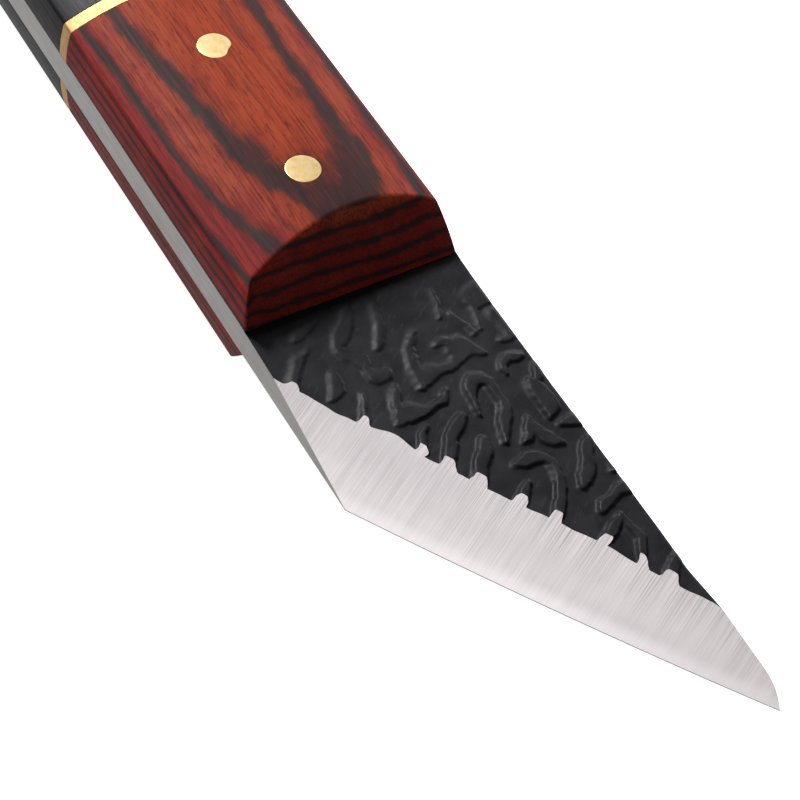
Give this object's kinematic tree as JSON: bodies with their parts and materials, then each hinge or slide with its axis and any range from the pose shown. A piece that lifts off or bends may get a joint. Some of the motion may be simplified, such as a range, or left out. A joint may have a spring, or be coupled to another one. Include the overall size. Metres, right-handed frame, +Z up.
{
  "type": "chip carving knife",
  "caption": "Full-tang skew chip carving knife: flat bar blade ground on one face with a forged surface, crowned red and black wood scales, brass spacer, pins and lanyard tube.",
  "frame": {"origin": "under the middle of the knife's outline, on the surface that its lower scales rest on", "axes": "+X towards the tip of the blade, -Y towards the cutting edge, +Z up, out of the ground face of the blade"},
  "size_m": [0.1738, 0.0276, 0.0188],
  "materials": {
    "blade_steel": "satin ground bevel and edges, black forge scale on the upper face",
    "red_wood": "dyed red-brown laminated wood, satin",
    "black_wood": "black laminated wood, satin",
    "brass": "brushed, ground flush"
  },
  "bodies": {
    "root": {"blade": "blade_steel", "front_scale_upper": "red_wood", "front_scale_lower": "red_wood", "spacer_upper": "brass", "spacer_lower": "brass", "rear_scale_upper": "black_wood", "rear_scale_lower": "black_wood", "pin_1": "brass", "pin_2": "brass", "pin_3": "brass", "pin_4": "brass", "lanyard_tube": "brass"}
  },
  "joints": []
}
